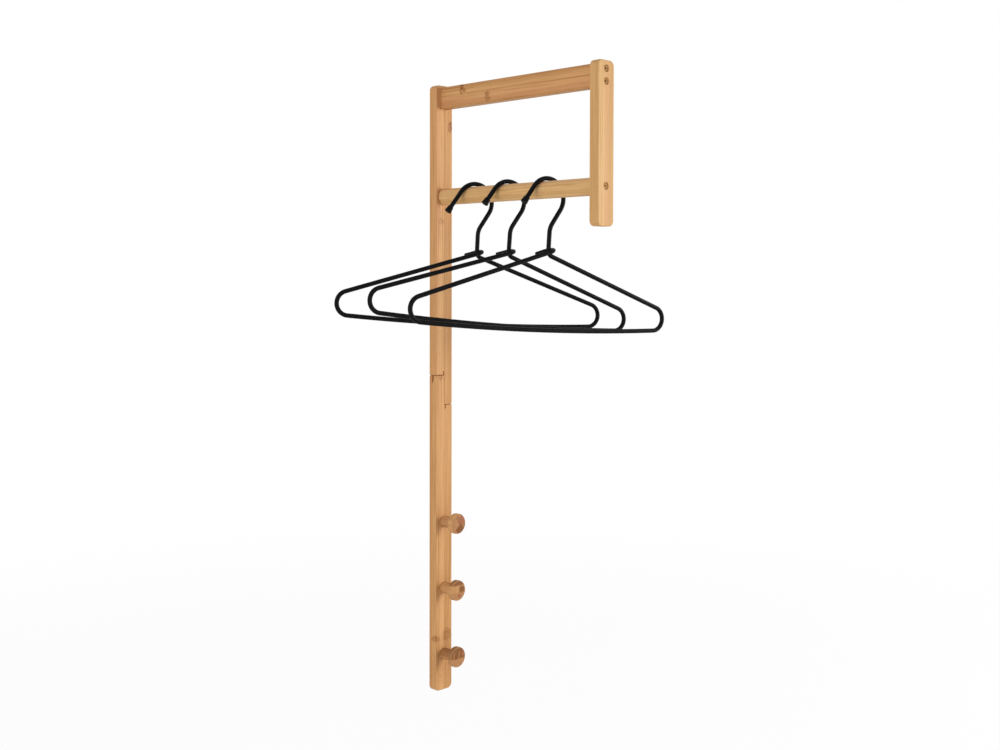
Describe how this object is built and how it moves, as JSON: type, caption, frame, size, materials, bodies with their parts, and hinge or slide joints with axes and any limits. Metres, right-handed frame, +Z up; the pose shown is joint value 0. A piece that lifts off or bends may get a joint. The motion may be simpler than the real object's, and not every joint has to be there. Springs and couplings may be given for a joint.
{
  "type": "wall coat rack",
  "caption": "Slim wall coat rack in laminated bamboo: a tall flat post with turned knobs below and a forward frame above whose round rod carries black wire coat hangers.",
  "frame": {"origin": "on the wall face of the post, midway between the two keyhole brackets", "axes": "+Z up along the post, +Y into the wall, +X to the right of someone facing the wall"},
  "size_m": [0.3889, 0.3005, 0.843],
  "materials": {
    "bamboo": "clear satin lacquer on laminated bamboo",
    "bamboo_rod": "clear satin lacquer on a turned bamboo rod",
    "bamboo_knob": "clear satin lacquer on turned end grain",
    "bronzed_steel": "bronzed",
    "zinc_steel": "zinc plated",
    "black_coated_wire": "satin black coating",
    "black_tip": "matt black"
  },
  "bodies": {
    "rack": {"upper_post": "bamboo", "lower_post": "bamboo", "top_arm": "bamboo", "outer_upright": "bamboo", "hanging_rod": "bamboo_rod", "knob_lower": "bamboo_knob", "knob_middle": "bamboo_knob", "knob_upper": "bamboo_knob", "outer_arm_screw_upper": "bronzed_steel", "outer_arm_screw_lower": "bronzed_steel", "outer_rod_screw": "bronzed_steel", "back_arm_screw_upper": "zinc_steel", "back_arm_screw_lower": "zinc_steel", "back_rod_screw": "zinc_steel", "lap_screw_upper": "zinc_steel", "lap_screw_lower": "zinc_steel", "knob_screw_lower": "zinc_steel", "knob_screw_middle": "zinc_steel", "knob_screw_upper": "zinc_steel", "keyhole_bracket_upper": "zinc_steel", "keyhole_bracket_lower": "zinc_steel", "keyhole_bracket_upper_screw_upper": "zinc_steel", "keyhole_bracket_upper_screw_lower": "zinc_steel", "keyhole_bracket_lower_screw_upper": "zinc_steel", "keyhole_bracket_lower_screw_lower": "zinc_steel"},
    "inner_hanger": {"hanger_inner": "black_coated_wire", "hanger_inner_tip": "black_tip"},
    "middle_hanger": {"hanger_middle": "black_coated_wire", "hanger_middle_tip": "black_tip"},
    "outer_hanger": {"hanger_outer": "black_coated_wire", "hanger_outer_tip": "black_tip"}
  },
  "joints": [
    {"name": "inner_hanger_swing", "type": "hinge", "parent": "rack", "child": "inner_hanger", "pos_m": [0, -0.0699, 0.21912], "axis": [0, 1, 0], "range_deg": [-20, 20]},
    {"name": "middle_hanger_swing", "type": "hinge", "parent": "rack", "child": "middle_hanger", "pos_m": [0, -0.1319, 0.21912], "axis": [0, 1, 0], "range_deg": [-20, 20]},
    {"name": "outer_hanger_swing", "type": "hinge", "parent": "rack", "child": "outer_hanger", "pos_m": [0, -0.2013, 0.21912], "axis": [0, 1, 0], "range_deg": [-20, 20]}
  ]
}
